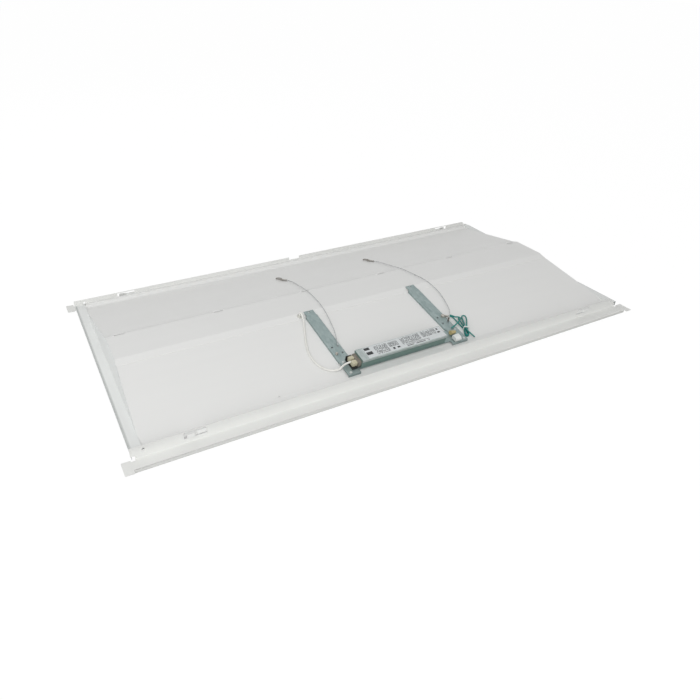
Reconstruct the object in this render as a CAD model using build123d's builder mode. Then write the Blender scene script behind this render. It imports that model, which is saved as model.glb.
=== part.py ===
"""Lay-in LED troffer door with its driver frame on its back, in millimetres.

+X runs along the length, +Y across to the far rail, +Z up. The door lies face down, as it hangs in a
ceiling, and z = 0 is the lower edge of the rail lips.
"""
import os
from math import atan, cos, pi, radians, sin, tan

from build123d import *

os.makedirs("parts", exist_ok=True)

# Rails
overall_length = 1213.0
overall_width = 603.0
rail_sheet = 0.8
flange_width = 31.5
lip_drop = 6.5
web_height = 25.0
tab_length = 16.5
bend_radius = 1.2
web_hole_diameter = 5.0
web_hole_from_end = 39.0
web_hole_height = 16.5
relief_length = 8.0
relief_height = 6.5
relief_margin = 0.5
notch_width = 30.0
notch_depth = 7.0
notch_x = -20.0
punch_depth = 6.5

# Grid clips, lanced in the webs
clip_root_from_end = 149.5
clip_root_shift = 7.0
clip_length = 36.0
clip_height = 7.5
clip_joggle = 3.5
clip_joggle_start = 18.0
clip_joggle_run = 5.0
clip_tip_radius = 2.0
clip_base_height = 11.7
window_margin_low = 2.3
window_margin_high = 3.8
window_tip_gap = 5.0
clip_gap = 0.3

# Pan sheets
pan_sheet = 0.7
plateau_half = 42.0
plateau_top = 56.5
facet_half = 58.0
facet_drop = 5.5
wing_slope = 0.1863
wing_overlap = 13.5
wing_bend = 6.0
wing_web_gap = 6.0
wing_return_drop = 0.6
wing_hole_diameter = 4.0
wing_hole_x = 305.0
wing_hole_setback = 23.5
lance_length = 24.0
lance_width = 2.2
lance_end_gap = 35.5
lance_count = 6
grommet_offset = 24.0
grommet_hole = 8.0
grommet_flange = 12.0
grommet_top = 2.0
grommet_round = 0.8

# End plates
end_wall_from_end = 18.5
end_lip_width = 20.0
end_lip_top = 18.5
end_wall_bottom = 6.5
gable_lean = 8.0
gable_bottom = 9.5

# Lens, lens rails and LED boards
lens_half = 82.0
lens_opening_half = 77.0
lens_sheet = 1.5
lens_ledge_top = 38.0
lens_depth = 19.0
lens_rail_sheet = 0.8
lens_rail_foot = 15.0
lens_clearance = 0.4
board_length = 540.0
board_width = 40.0
board_thickness = 1.6
board_gap = 10.0
tape_thickness = 0.4
led_length = 3.5
led_width = 2.8
led_height = 0.8
leds_per_row = 24
led_rows = 2
led_pitch = 22.0
led_row_pitch = 18.0

# Driver frame, on the slope of the near wing
rest_gap = 0.4
arm_left_gap = 6.5
arm_right_gap = 27.5
arm_width = 28.0
arm_sheet = 1.2
arm_rise = 6.0
arm_flange_start = 1.5
arm_foot_gap = 18.5
tongue_width = 23.0
tongue_length = 16.5
tongue_hole_diameter = 5.0
tongue_hole_from_tip = 4.0
arm_hole_diameter = 4.2
arm_hole_half = 7.0
arm_hole_setback = (40.0, 20.0)
base_depth = 42.5
base_edge = 1.3
foot_reach = 15.0
arm_screw_head = 7.0
arm_screw_head_height = 3.0
base_overhang = 14.0
rivet_diameter = 4.0
rivet_head = 7.0
rivet_head_height = 1.8
rivet_taper = 25.0
rivet_setback = (6.0, 37.0)
rivet_offset = 6.5
fit_gap = 0.1

# Driver
driver_length = 210.0
driver_width = 31.0
driver_height = 21.0
driver_x = -17.0
driver_setback = 1.0
driver_sheet = 0.8
cover_lip = 6.0
cover_gap = 0.4
label_length = 193.0
label_shift = 7.5
label_width = 29.6
label_thickness = 0.2
label_round = 1.5
rib_width = 1.8
rib_height = 0.6
rib_pitch = 3.7
rib_count = 3
driver_screw_diameter = 3.8
driver_screw_head = 6.6
driver_screw_head_height = 2.0
driver_screw_taper = 20.0
driver_screw_inset = 18.0
driver_screw_point = 2.0
circuit_thickness = 1.6
circuit_height = 5.0
post_diameter = 3.2
post_inset = 1.6
coil_size = 17.0
coil_height = 11.0
coil_round = 2.0
capacitor_diameter = 9.0
capacitor_length = 18.0
capacitor_offset = 36.0
terminal_length = 13.0
terminal_width = 26.0
terminal_height = 12.0
terminal_lift = 3.2
header_reach = 8.0
inlet_reach = 1.6
port_width = 9.0
port_height = 6.0
port_depth = 9.0
port_pitch = 12.0
plug_length = 10.0
plug_height = 10.0
plug_width = 22.0
lead_groove_gap = 0.5
plug_edge = 1.0
plug_play = 1.2
prong_length = 7.0
shroud_length = 12.0
shroud_width = 30.0
shroud_wall = 1.6
shroud_high = 11.0
shroud_low = 5.0
lead_diameter = 4.0

# Input side
connector_length = 15.0
connector_width = 14.0
connector_height = 9.0
connector_gap = 23.0
connector_offset = 17.0
connector_wedge = 4.0
connector_port = 2.6
connector_round = 1.2
nut_diameter = 10.2
nut_tip_diameter = 6.9
nut_length = 14.0
nut_round = 1.5
nut_shift = 4.5
nut_offset = 0.5

# Cords
arc_share = 0.45
lead_run = 22.0
grommet_run = 5.0
tether_run = 9.0
tether_rise = 2.6
ground_run = 7.0

# Tethers
tether_diameter = 1.6
hook_wire = 2.0
hook_length = 25.0
hook_width = 10.0
hook_tip = 9.0
ferrule_diameter = 4.2
ferrule_length = 13.0
ferrule_gap = 0.15
stop_diameter = 6.0

# Ground wire
ground_diameter = 3.0
ground_screw_head = 8.0
ground_screw_head_height = 3.2
ground_screw_edge = 0.6
ground_screw_point = 2.0
lug_thickness = 0.8
lug_radius = 4.6
lug_strap = 3.0
lug_turn = -30.0
pigtail_lift = 3.2
pigtail_run = 5.0
barrel_diameter = 4.2
barrel_length = 9.0
hank_from_arm = 30.5
hank_setback = 14.0
hank_turn = -28.0
hank_top = (41.0, 45.0)
hank_top_half = (6.0, 6.5)
hank_lean = (-4.5, 4.0)
hank_bottom = 20.0
hank_bottom_half = 4.6
hank_waist_half = 2.0
hank_waist_round = 0.9
hank_step = 3.7
hank_climb = 0.85
tie_width = 3.0
tie_sheet = 1.0
tie_gap = 0.3
tie_round = 1.6
tie_inner_round = 0.8

# Worked out from the sizes above
flange_top = lip_drop
web_y = overall_width / 2 - flange_width
lip_y = overall_width / 2 - lip_drop
web_top = flange_top + web_height
web_end_x = overall_length / 2 - tab_length
web_inner_y = web_y - rail_sheet
facet_angle = atan(facet_drop / (facet_half - plateau_half))
facet_thickness = pan_sheet / cos(facet_angle)
slope_angle = atan(wing_slope)
wing_start_z = plateau_top - facet_drop - facet_thickness
clip_low = flange_top + clip_base_height
end_wall_x = overall_length / 2 - end_wall_from_end
gable_x = end_wall_x - end_lip_width
gable_angle = atan(gable_lean / (plateau_top - end_lip_top))
wing_flange_y = web_inner_y - wing_web_gap - pan_sheet
wing_return_z = web_top - wing_return_drop
wing_hole_y = wing_flange_y - wing_hole_setback
lance_pitch = 2 * (gable_x - lance_end_gap) / (lance_count - 1)
wing_length = (wing_flange_y - facet_half) / cos(slope_angle)
case_left = driver_x - driver_length / 2
case_right = driver_x + driver_length / 2
arm_left_x = case_left - arm_left_gap - arm_width / 2
arm_right_x = case_right + arm_right_gap + arm_width / 2
grommet_x = arm_left_x - grommet_offset
base_near = wing_length - arm_foot_gap
base_far = base_near - base_depth
arm_hole_rows = [base_far - setback for setback in arm_hole_setback]
rivet_rows = [base_far + setback for setback in rivet_setback]
rivet_left_x = arm_left_x - rivet_offset
rivet_right_x = arm_right_x + rivet_offset
driver_far = base_far + driver_setback
driver_middle = driver_far + driver_width / 2
connector_x = case_right + connector_gap + connector_length / 2
connector_s = driver_middle + connector_offset
nut_x = connector_x - nut_shift
nut_s = driver_middle - nut_offset
hank_x = arm_right_x + hank_from_arm
driver_screw_x = (case_left + driver_screw_inset, case_right - driver_screw_inset)
hank_s = base_far + hank_setback


def keep(name, piece):
    """Label a finished piece and write it."""
    piece.part.label = name
    export_step(piece.part, f"parts/{name}.step")


def facing(side):
    """The cross-section plane of a piece on one side: local x runs outwards, local y up."""
    return Plane(origin=(0, 0, 0), x_dir=(0, side, 0), z_dir=(side, 0, 0))


def sheet_face(points, radii, thickness, side):
    """A bent sheet's cross-section: a filleted line and its parallel, closed at both ends."""
    with BuildLine() as outline:
        FilletPolyline(*points, radius=radii)
        offset(amount=thickness, side=side)
    make_face(outline.edges())


def wing_top(y):
    """Height of a wing's upper face at a distance from the middle."""
    return wing_start_z - (y - facet_half) * wing_slope


def gable_plane(side):
    """The outer face of an end plate's leaning gable, with its origin at the lip."""
    return Plane(
        origin=(side * gable_x, 0, end_lip_top),
        x_dir=(0, side, 0),
        z_dir=(side * cos(gable_angle), 0, sin(gable_angle)),
    )


# Near and far rail: flange, turned-down lip and upright web, with flat tabs at the ends
window_low = clip_low - window_margin_low
window_high = clip_low + clip_height + window_margin_high
window_length = clip_length + window_tip_gap
web_hole_x = overall_length / 2 - web_hole_from_end


def clip_root(end, side):
    """A clip's distance from the middle: the two rails are one shape, turned half round."""
    shift = clip_root_shift if end * side < 0 else 0
    return overall_length / 2 - clip_root_from_end - shift


for rail_name, side in (("near_rail", -1), ("far_rail", 1)):
    with BuildPart() as rail:
        with BuildSketch(facing(side)):
            sheet_face(
                [(lip_y, 0), (lip_y, flange_top), (web_y, flange_top), (web_y, web_top)],
                [bend_radius + rail_sheet, bend_radius],
                rail_sheet,
                Side.LEFT,
            )
        extrude(amount=web_end_x, both=True)
        tab_middle = web_end_x + tab_length / 2
        with Locations(*[(end * tab_middle, side * (web_y + flange_width / 2)) for end in (-1, 1)]):
            with Locations((0, 0, flange_top - rail_sheet / 2)):
                Box(tab_length, flange_width, rail_sheet)
        relief_x = web_end_x - relief_length / 2 + relief_margin
        relief_z = flange_top + (relief_height - rail_sheet) / 2 - relief_margin
        relief_rise = relief_height + rail_sheet + 2 * relief_margin
        with Locations(*[(end * relief_x, side * web_y, relief_z) for end in (-1, 1)]):
            Box(relief_length, punch_depth, relief_rise, mode=Mode.SUBTRACT)
        hole_z = flange_top + web_hole_height
        with Locations(*[(end * web_hole_x, side * web_y, hole_z) for end in (-1, 1)]):
            Cylinder(web_hole_diameter / 2, punch_depth, rotation=(90, 0, 0), mode=Mode.SUBTRACT)
        window_z = (window_low + window_high) / 2
        for end in (-1, 1):
            window_x = clip_root(end, side) + window_length / 2
            with Locations((end * window_x, side * web_y, window_z)):
                Box(window_length, punch_depth, window_high - window_low, mode=Mode.SUBTRACT)
        if side > 0:
            with Locations((notch_x, web_y, web_top)):
                Box(notch_width, punch_depth, 2 * notch_depth, mode=Mode.SUBTRACT)
    keep(rail_name, rail)

# Grid clips: fingers lanced from the webs, joggled outwards, that bend at their roots
for clip_name, end, side in (
    ("near_left_clip", -1, -1),
    ("near_right_clip", 1, -1),
    ("far_left_clip", -1, 1),
    ("far_right_clip", 1, 1),
):
    root = clip_root(end, side) + clip_gap
    joggle = root + clip_joggle_start
    tip = root + clip_length
    outline = [(root, 0), (joggle, 0), (joggle + clip_joggle_run, clip_joggle), (tip, clip_joggle)]
    with BuildPart() as clip:
        with BuildSketch(Plane.XY.offset(clip_low)):
            sheet_face(
                [(end * x, side * (web_y + y)) for x, y in outline],
                [bend_radius, bend_radius],
                rail_sheet,
                Side.RIGHT if end * side > 0 else Side.LEFT,
            )
        extrude(amount=clip_height)
        tip_edges = clip.edges().filter_by(Axis.Y).sort_by(Axis.X)
        fillet(tip_edges[-2:] if end > 0 else tip_edges[:2], clip_tip_radius)
    keep(clip_name, clip)

# LED channel: the raised middle sheet, whose sloped edges lie over both wings
crease_z = plateau_top - facet_drop
with BuildPart() as led_channel:
    with BuildSketch(Plane.YZ):
        sheet_face(
            [
                (-facet_half, crease_z),
                (-plateau_half, plateau_top),
                (plateau_half, plateau_top),
                (facet_half, crease_z),
            ],
            [bend_radius, bend_radius],
            pan_sheet,
            Side.RIGHT,
        )
    extrude(amount=gable_x, both=True)
    for side in (-1, 1):
        split(bisect_by=gable_plane(side).offset(-pan_sheet), keep=Keep.BOTTOM)
    lance_y = plateau_half + lance_width / 2
    with Locations((0, lance_y, plateau_top)):
        with GridLocations(lance_pitch, 1, lance_count, 1):
            Box(lance_length, lance_width, facet_drop, mode=Mode.SUBTRACT)

# Grommet place on the near sloped edge, square to it
facet_middle = (plateau_half + facet_half) / 2
grommet_plane = Plane(
    origin=(grommet_x, -facet_middle, plateau_top - facet_drop / 2),
    x_dir=(1, 0, 0),
    z_dir=(0, -sin(facet_angle), cos(facet_angle)),
)
with BuildPart() as grommet_cut:
    with BuildSketch(grommet_plane.offset(-3 * pan_sheet)):
        Circle(grommet_hole / 2)
    extrude(amount=6 * pan_sheet)
with led_channel:
    add(grommet_cut.part, mode=Mode.SUBTRACT)
keep("led_channel", led_channel)

# Wings: sloped reflector sheets, tucked under the channel, turned up and returned to the webs
for wing_name, side in (("near_wing", -1), ("far_wing", 1)):
    tuck_y = facet_half - wing_overlap
    tuck_z = wing_start_z + wing_overlap * tan(facet_angle)
    foot_z = wing_top(wing_flange_y)
    with BuildPart() as wing:
        with BuildSketch(facing(side)):
            sheet_face(
                [
                    (tuck_y, tuck_z),
                    (facet_half, wing_start_z),
                    (wing_flange_y, foot_z),
                    (wing_flange_y, wing_return_z),
                    (web_inner_y, wing_return_z),
                ],
                [bend_radius, wing_bend, bend_radius],
                pan_sheet,
                Side.RIGHT,
            )
        extrude(amount=gable_x + gable_lean, both=True)
        for end in (-1, 1):
            split(bisect_by=gable_plane(end).offset(-pan_sheet), keep=Keep.BOTTOM)
        with Locations((-wing_hole_x, side * wing_hole_y), (wing_hole_x, side * wing_hole_y)):
            Cylinder(wing_hole_diameter / 2, 2 * plateau_top, mode=Mode.SUBTRACT)
        if side < 0:
            add(grommet_cut.part, mode=Mode.SUBTRACT)
    keep(wing_name, wing)

# End plates: leaning gable, flat lip and end wall, bent from one sheet
lip_cross_y = facet_half + (wing_start_z - end_lip_top) / wing_slope
for plate_name, side in (("left_end_plate", -1), ("right_end_plate", 1)):
    half_outline = [
        (plateau_half, (plateau_top - end_lip_top) / cos(gable_angle)),
        (facet_half, (crease_z - end_lip_top) / cos(gable_angle)),
        (lip_cross_y, 0),
        (web_inner_y, 0),
        (web_inner_y, (gable_bottom - end_lip_top) / cos(gable_angle)),
    ]
    with BuildPart() as end_plate:
        with BuildSketch(gable_plane(side)):
            with BuildLine():
                Polyline(*half_outline, *[(-y, z) for y, z in reversed(half_outline)], close=True)
            make_face()
        extrude(amount=-pan_sheet)
        with BuildSketch(Plane.XZ):
            sheet_face(
                [
                    (side * (gable_x - pan_sheet / 2), end_lip_top),
                    (side * end_wall_x, end_lip_top),
                    (side * end_wall_x, end_wall_bottom),
                ],
                [bend_radius + pan_sheet],
                pan_sheet,
                Side.RIGHT if side > 0 else Side.LEFT,
            )
        extrude(amount=web_inner_y, both=True)
    keep(plate_name, end_plate)

# Lens: a frosted trough under the channel, whose ledges lie on the lens rails
lens_end = gable_x - gable_lean
ledge_low = lens_ledge_top - lens_sheet
with BuildPart() as lens:
    with BuildSketch(Plane.YZ):
        with BuildLine():
            ledge_left = Line((-lens_half, lens_ledge_top), (-lens_opening_half, lens_ledge_top))
            trough = ThreePointArc(
                ledge_left @ 1, (0, lens_ledge_top - lens_depth), (lens_opening_half, lens_ledge_top)
            )
            Line(trough @ 1, (lens_half, lens_ledge_top))
            offset(amount=lens_sheet, side=Side.RIGHT)
        make_face()
    extrude(amount=lens_end, both=True)
keep("lens", lens)

# Lens rails: bent strips under the wings that carry the lens ledges
rail_face = lens_half + lens_clearance
for strip_name, side in (("near_lens_rail", -1), ("far_lens_rail", 1)):
    foot_y = rail_face + lens_rail_foot
    sheet_drop = pan_sheet / cos(slope_angle)
    strip = [
        (lens_opening_half + lens_sheet, ledge_low),
        (rail_face, ledge_low),
        (rail_face, wing_top(rail_face) - sheet_drop),
        (foot_y, wing_top(foot_y) - sheet_drop),
    ]
    with BuildPart() as lens_rail:
        with BuildSketch(facing(side)):
            sheet_face(strip, [lens_rail_sheet / 2, lens_rail_sheet], lens_rail_sheet, Side.RIGHT)
        extrude(amount=lens_end, both=True)
    keep(strip_name, lens_rail)

# LED boards on thermal tape under the plateau, with two rows of LEDs each
tape_top = plateau_top - pan_sheet
board_top = tape_top - tape_thickness
board_x = (board_length + board_gap) / 2
for hand, side in (("left", -1), ("right", 1)):
    with BuildPart() as tape:
        with Locations((side * board_x, 0, tape_top - tape_thickness / 2)):
            Box(board_length, board_width - led_width, tape_thickness)
    keep(f"{hand}_thermal_tape", tape)
    with BuildPart() as board:
        with Locations((side * board_x, 0, board_top - board_thickness / 2)):
            Box(board_length, board_width, board_thickness)
    keep(f"{hand}_led_board", board)
    with BuildPart() as leds:
        with Locations((side * board_x, 0, board_top - board_thickness - led_height / 2)):
            with GridLocations(led_pitch, led_row_pitch, leds_per_row, led_rows):
                Box(led_length, led_width, led_height)
    keep(f"{hand}_leds", leds)

# Lead grommet, pressed into the sloped edge of the channel
grommet_under = 2 * pan_sheet + rest_gap
with BuildPart() as grommet:
    with BuildSketch(grommet_plane):
        Circle(grommet_flange / 2)
        Circle(lead_diameter / 2 + fit_gap, mode=Mode.SUBTRACT)
    extrude(amount=grommet_top)
    top_edges = grommet.edges().filter_by(GeomType.CIRCLE).group_by(Axis.Z)[-1]
    fillet(top_edges.sort_by(SortBy.RADIUS)[-1], grommet_round)
    with BuildSketch(grommet_plane):
        Circle(grommet_hole / 2 - fit_gap)
        Circle(lead_diameter / 2 + fit_gap, mode=Mode.SUBTRACT)
    extrude(amount=-grommet_under)
keep("lead_grommet", grommet)

# The driver frame's own plane: x along the light, y up the slope, z square to the near wing
slope = Plane(
    origin=(0, -facet_half, wing_start_z),
    x_dir=(1, 0, 0),
    z_dir=(0, -sin(slope_angle), cos(slope_angle)),
)
arm_under = arm_rise - arm_sheet


def on_slope(x, s, n):
    """A point s down the near wing and n above it, in the light's frame."""
    return slope.from_local_coords(Vector(x, -s, n))


def turned(plane, origin, angle):
    """A plane parallel to another, at a new origin and turned about its normal, in degrees."""
    return Plane(
        origin=origin,
        x_dir=plane.x_dir * cos(radians(angle)) + plane.y_dir * sin(radians(angle)),
        z_dir=plane.z_dir,
    )


def length_section(x):
    """The plane square to the light's length at x: local x up the slope, local y off it."""
    return Plane(origin=on_slope(x, 0, 0), x_dir=slope.y_dir, z_dir=(1, 0, 0))


def slope_section(s):
    """The plane square to the slope at a distance s down it: local x along the light, local y up."""
    return Plane(
        origin=on_slope(0, s, 0),
        x_dir=(1, 0, 0),
        z_dir=(0, -cos(slope_angle), -sin(slope_angle)),
    )


# Arms: inverted channels down the slope, flat at the tongue and over the base
for arm_name, arm_x, rivet_x in (
    ("left_arm", arm_left_x, rivet_left_x),
    ("right_arm", arm_right_x, rivet_right_x),
):
    with BuildPart() as arm:
        with BuildSketch(slope_section(arm_flange_start)):
            half = arm_width / 2
            sheet_face(
                [
                    (arm_x - half, rest_gap),
                    (arm_x - half, arm_rise),
                    (arm_x + half, arm_rise),
                    (arm_x + half, rest_gap),
                ],
                [bend_radius + arm_sheet, bend_radius + arm_sheet],
                arm_sheet,
                Side.RIGHT,
            )
        extrude(amount=base_far - arm_flange_start - rest_gap)
        with BuildSketch(slope.offset(arm_under)):
            foot_middle = (base_far - rest_gap + base_near) / 2
            with Locations((arm_x, -foot_middle)):
                Rectangle(arm_width, base_near - base_far + rest_gap)
            with Locations((arm_x, tongue_length / 2 - arm_flange_start)):
                Rectangle(tongue_width, tongue_length)
        extrude(amount=arm_sheet)
        with BuildSketch(slope.offset(arm_under)):
            with Locations((arm_x, tongue_length - arm_flange_start - tongue_hole_from_tip)):
                Circle(tongue_hole_diameter / 2)
            for row in arm_hole_rows:
                with Locations((arm_x - arm_hole_half, -row), (arm_x + arm_hole_half, -row)):
                    Circle(arm_hole_diameter / 2)
            with Locations(*[(rivet_x, -row) for row in rivet_rows]):
                Circle(rivet_diameter / 2 + fit_gap)
        extrude(amount=arm_sheet, mode=Mode.SUBTRACT)
    keep(arm_name, arm)

# Base: a shallow channel that joins the arms and carries the driver
base_left = arm_left_x - base_overhang
base_right = arm_right_x + base_overhang
with BuildPart() as base:
    with BuildSketch(length_section(base_left)):
        sheet_face(
            [
                (-base_near, rest_gap),
                (-base_near, arm_under),
                (-base_far, arm_under),
                (-base_far, rest_gap),
            ],
            [bend_radius + arm_sheet, bend_radius + arm_sheet],
            arm_sheet,
            Side.RIGHT,
        )
    extrude(amount=base_right - base_left)
    with BuildSketch(slope.offset(arm_under)):
        for rivet_x in (rivet_left_x, rivet_right_x):
            with Locations(*[(rivet_x, -row) for row in rivet_rows]):
                Circle(rivet_diameter / 2 + fit_gap)
        with Locations(*[(x, -driver_middle) for x in driver_screw_x]):
            Circle(driver_screw_diameter / 2 + fit_gap)
    extrude(amount=-arm_sheet, mode=Mode.SUBTRACT)
    foot_left = arm_left_x + arm_width / 2
    foot_right = case_right + foot_reach
    edge_s = driver_far + driver_width + base_edge
    with BuildSketch(slope.offset(arm_under)):
        with Locations(((foot_left + foot_right) / 2, -edge_s)):
            Rectangle(foot_right - foot_left, base_near, align=(Align.CENTER, Align.MAX))
    extrude(amount=-arm_under, mode=Mode.SUBTRACT)
keep("driver_base", base)

# Rivets through arms and base
with BuildPart() as rivets:
    for rivet_x in (rivet_left_x, rivet_right_x):
        for row in rivet_rows:
            with BuildSketch(slope.offset(arm_rise)):
                with Locations((rivet_x, -row)):
                    Circle(rivet_head / 2)
            extrude(amount=rivet_head_height, taper=rivet_taper)
            with BuildSketch(slope.offset(arm_rise)):
                with Locations((rivet_x, -row)):
                    Circle(rivet_diameter / 2)
            extrude(amount=-2 * arm_sheet - rivet_head_height / 2)
keep("frame_rivets", rivets)

# Driver case: a folded tray, open at the top and at its terminals
case_floor = arm_under
through_wall = 4 * driver_sheet
with BuildPart() as case:
    with BuildSketch(slope.offset(case_floor)):
        with Locations((driver_x, -driver_middle)):
            Rectangle(driver_length, driver_width)
    extrude(amount=driver_height - driver_sheet)
    with BuildSketch(slope.offset(case_floor + driver_sheet)):
        with Locations((driver_x, -driver_middle)):
            Rectangle(driver_length - 2 * driver_sheet, driver_width - 2 * driver_sheet)
    extrude(amount=driver_height, mode=Mode.SUBTRACT)
    with BuildSketch(slope.offset(case_floor)):
        with Locations(*[(x, -driver_middle) for x in driver_screw_x]):
            Circle(driver_screw_diameter / 2 + fit_gap)
    extrude(amount=driver_sheet, mode=Mode.SUBTRACT)
    with Locations(slope.offset(case_floor + terminal_lift)):
        with Locations((case_left, -driver_middle, 0), (case_right, -driver_middle, 0)):
            Box(
                through_wall,
                terminal_width + 2 * fit_gap,
                terminal_height + 2 * fit_gap,
                align=(Align.CENTER, Align.CENTER, Align.MIN),
                mode=Mode.SUBTRACT,
            )
keep("driver_case", case)

# Driver cover: a lid with folded sides that slide down outside the tray's long walls
cover_top = case_floor + driver_height
with BuildPart() as cover:
    with BuildSketch(length_section(case_left)):
        near = driver_far + driver_width + cover_gap + driver_sheet
        far = driver_far - cover_gap - driver_sheet
        sheet_face(
            [
                (-near, cover_top - cover_lip),
                (-near, cover_top),
                (-far, cover_top),
                (-far, cover_top - cover_lip),
            ],
            [bend_radius, bend_radius],
            driver_sheet,
            Side.RIGHT,
        )
    extrude(amount=driver_length)
    with BuildSketch(slope.offset(cover_top)):
        with Locations((case_left + rib_pitch * (rib_count + 1) / 2, -driver_middle)):
            with GridLocations(rib_pitch, 1, rib_count, 1):
                Rectangle(rib_width, driver_width)
    extrude(amount=rib_height)
keep("driver_cover", cover)

# Label: a blank white sticker on the cover
with BuildPart() as label:
    with BuildSketch(slope.offset(cover_top)):
        with Locations((driver_x + label_shift, -driver_middle)):
            RectangleRounded(label_length, label_width, label_round)
    extrude(amount=label_thickness)
keep("driver_label", label)

# Circuit board with its transformer and capacitors, inside the case
circuit_top = case_floor + circuit_height + circuit_thickness
circuit_length = driver_length - 2 * terminal_length
circuit_width = driver_width - 3 * driver_sheet
with BuildPart() as circuit:
    with BuildSketch(slope.offset(case_floor + driver_sheet)):
        with Locations((driver_x, -driver_middle)):
            with GridLocations(circuit_length - 2 * post_inset, circuit_width - 2 * post_inset, 2, 2):
                Circle(post_diameter / 2)
    extrude(amount=circuit_height - driver_sheet)
    with BuildSketch(slope.offset(case_floor + circuit_height)):
        with Locations((driver_x, -driver_middle)):
            Rectangle(circuit_length, circuit_width)
    extrude(amount=circuit_thickness)
keep("driver_circuit", circuit)

with BuildPart() as transformer:
    with BuildSketch(slope.offset(circuit_top)):
        with Locations((driver_x, -driver_middle)):
            RectangleRounded(coil_size, coil_size, coil_round)
    extrude(amount=coil_height)
keep("driver_transformer", transformer)

with BuildPart() as capacitors:
    for place in (-capacitor_offset, capacitor_offset):
        with Locations(slope.offset(circuit_top + capacitor_diameter / 2)):
            with Locations((driver_x + place, -driver_middle, 0)):
                Cylinder(capacitor_diameter / 2, capacitor_length, rotation=(0, 90, 0))
keep("driver_capacitors", capacitors)

# Terminals at both ends of the case, with their wire ports
for terminal_name, edge, outwards, reach in (
    ("output_terminal", case_left, -1, header_reach),
    ("input_terminal", case_right, 1, inlet_reach),
):
    length = terminal_length + reach
    with BuildPart() as terminal:
        with Locations(slope.offset(case_floor + terminal_lift + fit_gap)):
            with Locations((edge + outwards * (reach - length / 2), -driver_middle, 0)):
                Box(
                    length,
                    terminal_width,
                    terminal_height,
                    align=(Align.CENTER, Align.CENTER, Align.MIN),
                )
                with Locations((outwards * (length - port_depth) / 2, 0, terminal_height / 2)):
                    with GridLocations(1, port_pitch, 1, 2):
                        Box(port_depth, port_width, port_height, mode=Mode.SUBTRACT)
    keep(terminal_name, terminal)

# Driver screws, from under the base into the case's floor
with BuildPart() as driver_screws:
    for place in driver_screw_x:
        with BuildSketch(slope.offset(arm_under - arm_sheet)):
            with Locations((place, -driver_middle)):
                Circle(driver_screw_head / 2)
        extrude(amount=-driver_screw_head_height, taper=driver_screw_taper)
        with BuildSketch(slope.offset(arm_under - arm_sheet)):
            with Locations((place, -driver_middle)):
                Circle(driver_screw_diameter / 2)
        extrude(amount=arm_sheet + driver_sheet + driver_screw_point)
keep("driver_screws", driver_screws)

# LED plug in the output terminal: two blocks with a groove between them that the lead lies in
plug_face = case_left - header_reach - fit_gap
plug_low = case_floor + terminal_lift + fit_gap + (terminal_height - plug_height) / 2
plug_middle = plug_low + plug_height / 2
groove_width = lead_diameter + 2 * lead_groove_gap
with BuildPart() as plug:
    with Locations(slope.offset(plug_middle)):
        with Locations((plug_face - plug_length / 2, -driver_middle, 0)):
            Box(plug_length, plug_width, plug_height)
            chamfer(plug.edges().filter_by(Axis.X), plug_edge)
            with Locations((0, 0, -groove_width / 2)):
                Box(
                    plug_length,
                    groove_width,
                    plug_height,
                    align=(Align.CENTER, Align.CENTER, Align.MIN),
                    mode=Mode.SUBTRACT,
                )
        with Locations((plug_face + prong_length / 2, -driver_middle, 0)):
            with GridLocations(1, port_pitch, 1, 2):
                Box(prong_length, port_width - 2 * plug_play, port_height - 2 * plug_play)
keep("led_plug", plug)

# Shroud round the plug: a floor on the arm, a full far wall and a low near wall
shroud_right = plug_face - rest_gap
with BuildPart() as shroud:
    with Locations(slope.offset(arm_rise)):
        with Locations((shroud_right, -driver_middle, 0)):
            Box(
                shroud_length,
                shroud_width,
                shroud_wall,
                align=(Align.MAX, Align.CENTER, Align.MIN),
            )
            with Locations((0, shroud_width / 2, 0)):
                Box(shroud_length, shroud_wall, shroud_high, align=(Align.MAX, Align.MAX, Align.MIN))
            with Locations((0, -shroud_width / 2, 0)):
                Box(shroud_length, shroud_wall, shroud_low, align=(Align.MAX, Align.MIN, Align.MIN))
keep("output_shroud", shroud)

# Wire connector and wire nut at the driver's right end
with BuildPart() as connector:
    with Locations(slope.offset(arm_rise)):
        with Locations((connector_x, -connector_s, 0)):
            Box(
                connector_length,
                connector_width,
                connector_height,
                align=(Align.CENTER, Align.CENTER, Align.MIN),
            )
            near_top = slope.z_dir - slope.y_dir
            long_edges = connector.edges().filter_by(Axis.X)
            chamfer(long_edges.sort_by(lambda edge: edge.center().dot(near_top))[-1], connector_wedge)
            with Locations((connector_length / 2, 0, connector_height / 2)):
                with GridLocations(1, connector_width / 3, 1, 3):
                    Cylinder(connector_port / 2, connector_length, rotation=(0, 90, 0), mode=Mode.SUBTRACT)
    fillet(connector.edges().filter_by(Axis.X), connector_round)
keep("wire_connector", connector)

# The nut lies on its cone, so its lower side is level with the arm
nut_angle = atan((nut_diameter - nut_tip_diameter) / 2 / nut_length)
nut_plane = Plane(
    origin=on_slope(nut_x, nut_s, arm_rise + fit_gap + nut_diameter / 2 * cos(nut_angle)),
    x_dir=slope.y_dir,
    z_dir=slope.x_dir * cos(nut_angle) - slope.z_dir * sin(nut_angle),
)
with BuildPart() as wire_nut:
    with BuildSketch(nut_plane):
        Circle(nut_diameter / 2)
    with BuildSketch(nut_plane.offset(nut_length)):
        Circle(nut_tip_diameter / 2)
    loft()
    fillet(wire_nut.edges().group_by(Axis.X)[-1], nut_round)
keep("wire_nut", wire_nut)


# Cords follow straight runs joined by tangent arcs, each arc as large as its runs allow
def cord_radii(name, points):
    """The arc radius at each inner point of a cord's route, printed for checking."""
    route = [Vector(*point) for point in points]
    radii = []
    for before, here, after in zip(route, route[1:], route[2:]):
        turn = radians((here - before).get_angle(after - here))
        run = min((here - before).length, (after - here).length)
        radii.append(arc_share * run / tan(turn / 2))
    print(name, "radii", [round(radius, 1) for radius in radii])
    return radii


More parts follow.
